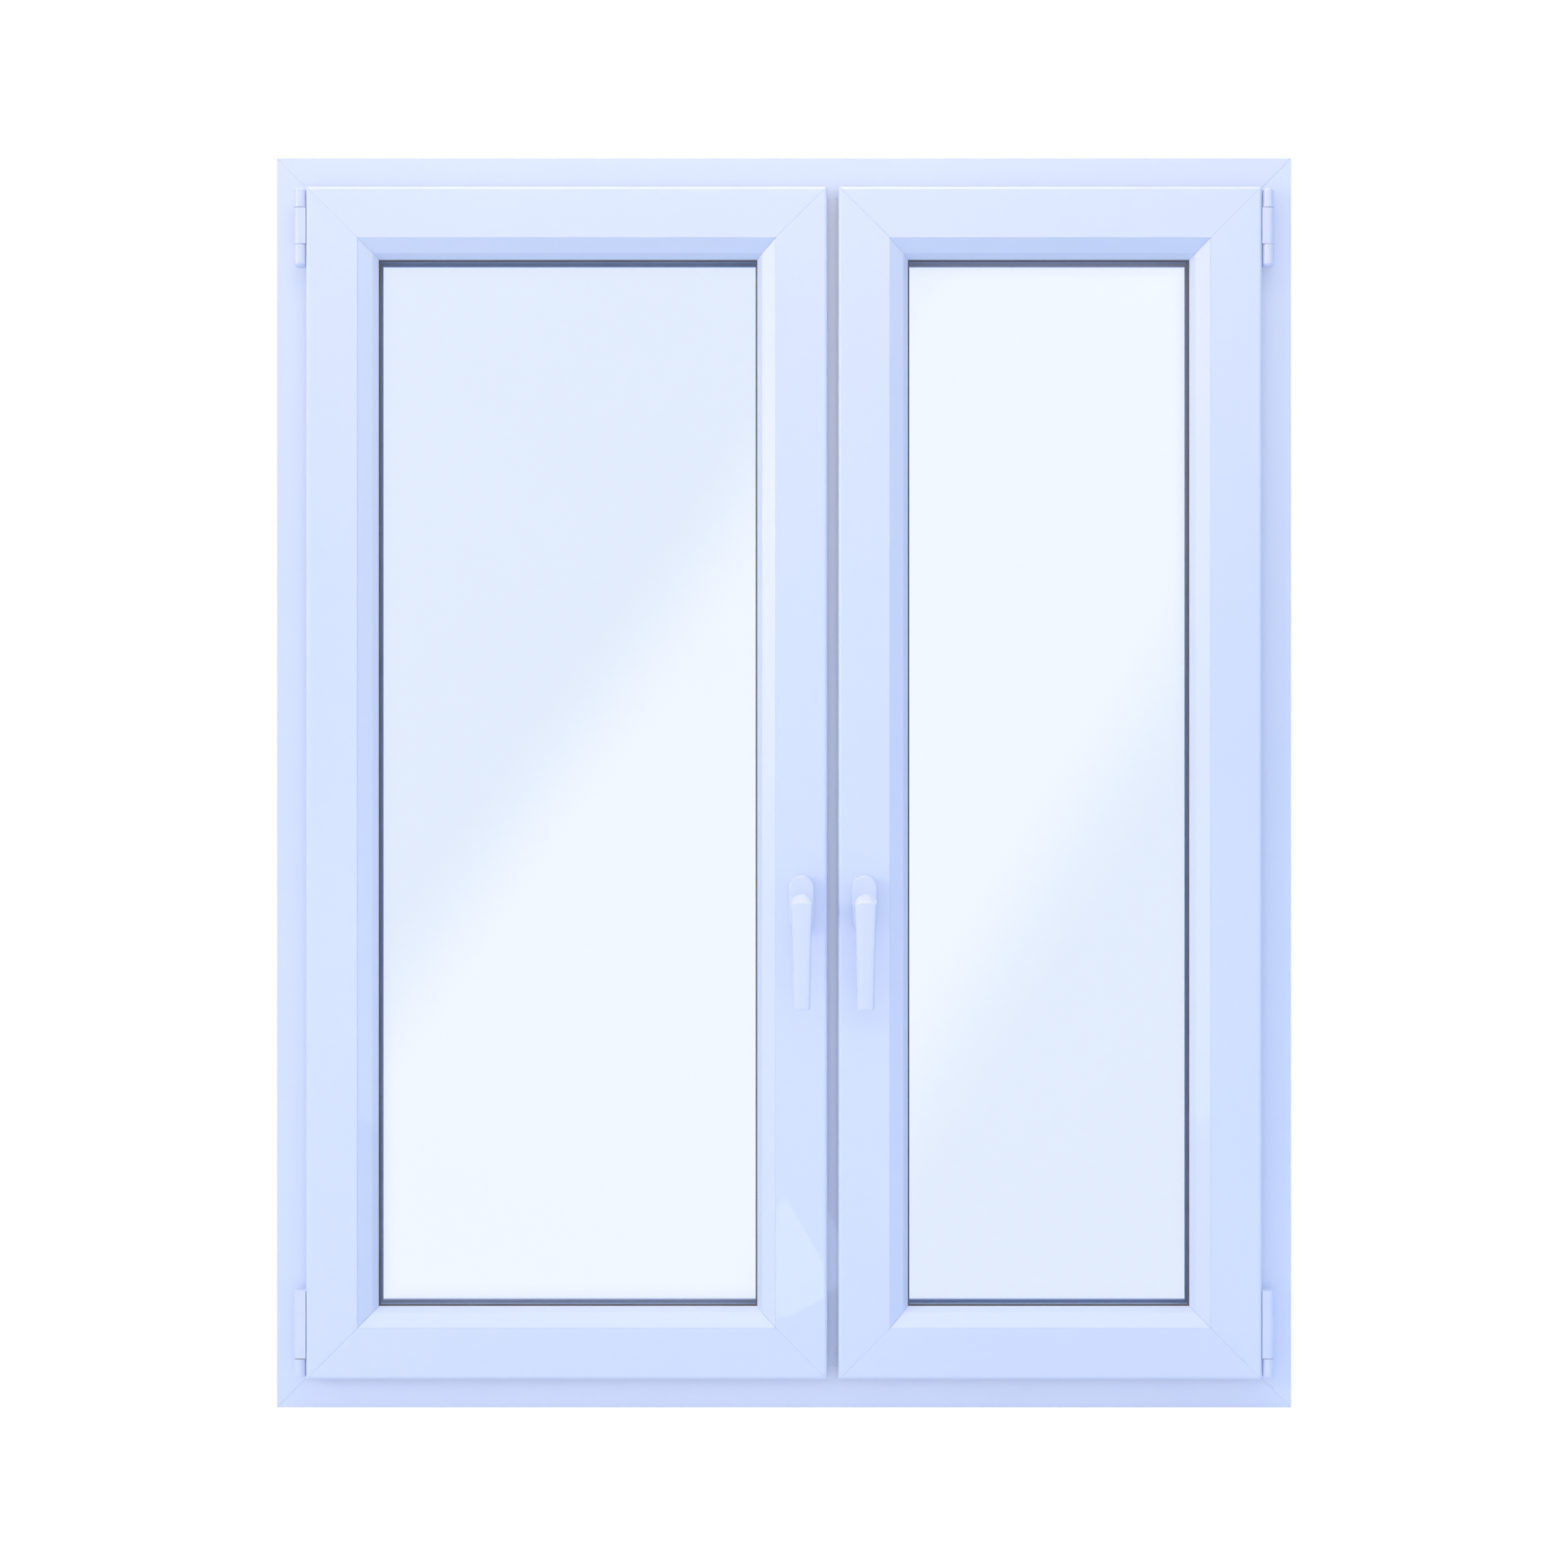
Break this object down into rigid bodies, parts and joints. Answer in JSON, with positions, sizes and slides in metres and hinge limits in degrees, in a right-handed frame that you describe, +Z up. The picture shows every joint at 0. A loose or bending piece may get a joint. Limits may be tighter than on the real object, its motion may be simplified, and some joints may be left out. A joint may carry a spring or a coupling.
{
  "type": "casement window",
  "caption": "Two-sash white uPVC casement window: tilt-and-turn left sash, turn right sash, fixed mullion, triple glazing, lever handles and side hinges.",
  "frame": {"origin": "middle of the frame's underside, half way through its depth", "axes": "+X to the right seen from the room, +Y outdoors, +Z up"},
  "size_m": [1.165, 0.154, 1.435],
  "materials": {
    "white_pvc": "satin extruded uPVC",
    "hinge_white": "smooth moulded hinge cover",
    "handle_white": "powder coated, smooth",
    "gasket": "matt EPDM",
    "glass": "clear float glass",
    "spacer_bar": "warm-edge spacer, fine ribs",
    "zinc_steel": "zinc plated, silver passivated"
  },
  "bodies": {
    "frame": {"frame_gasket_left": "gasket", "frame_gasket_right": "gasket", "frame_head": "white_pvc", "frame_jamb_left": "white_pvc", "frame_jamb_right": "white_pvc", "frame_sill": "white_pvc", "mullion": "white_pvc", "left_striker": "zinc_steel", "right_striker": "zinc_steel", "left_top_hinge_bracket": "hinge_white", "right_top_hinge_bracket": "hinge_white", "left_top_hinge_pin": "zinc_steel", "right_top_hinge_pin": "zinc_steel", "left_bottom_hinge_bracket": "hinge_white", "right_bottom_hinge_bracket": "hinge_white"},
    "left_corner_bearing": {"left_corner_pivot": "zinc_steel"},
    "left_stay": {"left_stay_arm": "zinc_steel"},
    "left_sash": {"left_bead_bottom": "white_pvc", "left_bead_left": "white_pvc", "left_bead_right": "white_pvc", "left_bead_top": "white_pvc", "left_bottom_hinge_cover": "hinge_white", "left_gearbox": "zinc_steel", "left_handle_rosette": "handle_white", "left_pane_inner": "glass", "left_pane_middle": "glass", "left_pane_outer": "glass", "left_sash_bottom_rail": "white_pvc", "left_sash_gasket": "gasket", "left_sash_hinge_stile": "white_pvc", "left_sash_lock_stile": "white_pvc", "left_sash_top_rail": "white_pvc", "left_spacer_inner": "spacer_bar", "left_spacer_outer": "spacer_bar", "left_stay_track": "zinc_steel"},
    "left_handle": {"left_handle_lever": "handle_white", "left_handle_spindle": "zinc_steel"},
    "left_rod": {"left_drive_rod": "zinc_steel"},
    "right_sash": {"right_bead_bottom": "white_pvc", "right_bead_left": "white_pvc", "right_bead_right": "white_pvc", "right_bead_top": "white_pvc", "right_bottom_hinge_cover": "hinge_white", "right_gearbox": "zinc_steel", "right_handle_rosette": "handle_white", "right_pane_inner": "glass", "right_pane_middle": "glass", "right_pane_outer": "glass", "right_sash_bottom_rail": "white_pvc", "right_sash_gasket": "gasket", "right_sash_hinge_stile": "white_pvc", "right_sash_lock_stile": "white_pvc", "right_sash_top_rail": "white_pvc", "right_spacer_inner": "spacer_bar", "right_spacer_outer": "spacer_bar", "right_top_hinge_leaf": "hinge_white"},
    "right_handle": {"right_handle_lever": "handle_white", "right_handle_spindle": "zinc_steel"},
    "right_rod": {"right_drive_rod": "zinc_steel"}
  },
  "joints": [
    {"name": "left_turn", "type": "hinge", "parent": "frame", "child": "left_corner_bearing", "pos_m": [-0.55275, -0.0545, 0.05], "axis": [0, 0, -1], "range_deg": [0, 100]},
    {"name": "left_tilt", "type": "hinge", "parent": "left_corner_bearing", "child": "left_sash", "pos_m": [-0.55275, -0.0545, 0.05], "axis": [1, 0, 0], "range_deg": [0, 6]},
    {"name": "left_stay_turn", "type": "hinge", "parent": "left_corner_bearing", "child": "left_stay", "pos_m": [-0.55275, -0.0545, 1.36], "axis": [0, 0, -1], "range_deg": [0, 21]},
    {"name": "left_handle_turn", "type": "hinge", "parent": "left_sash", "child": "left_handle", "pos_m": [0.0199, -0.062, 0.58], "axis": [0, 1, 0], "range_deg": [0, 180]},
    {"name": "left_rod_slide", "type": "slide", "parent": "left_sash", "child": "left_rod", "axis": [0, 0, 1], "range_m": [0, 0.0361]},
    {"name": "right_turn", "type": "hinge", "parent": "frame", "child": "right_sash", "pos_m": [0.55275, -0.0545, 0.05], "axis": [0, 0, 1], "range_deg": [0, 100]},
    {"name": "right_handle_turn", "type": "hinge", "parent": "right_sash", "child": "right_handle", "pos_m": [0.0915, -0.062, 0.58], "axis": [0, -1, 0], "range_deg": [0, 90]},
    {"name": "right_rod_slide", "type": "slide", "parent": "right_sash", "child": "right_rod", "axis": [0, 0, 1], "range_m": [0, 0.0181]}
  ],
  "couplings": [
    {"joint": "left_stay_turn", "follows": "left_tilt", "ratio": 3.5},
    {"joint": "left_rod_slide", "follows": "left_handle_turn", "m_per_rad": 0.011459},
    {"joint": "right_rod_slide", "follows": "right_handle_turn", "m_per_rad": 0.011459}
  ]
}
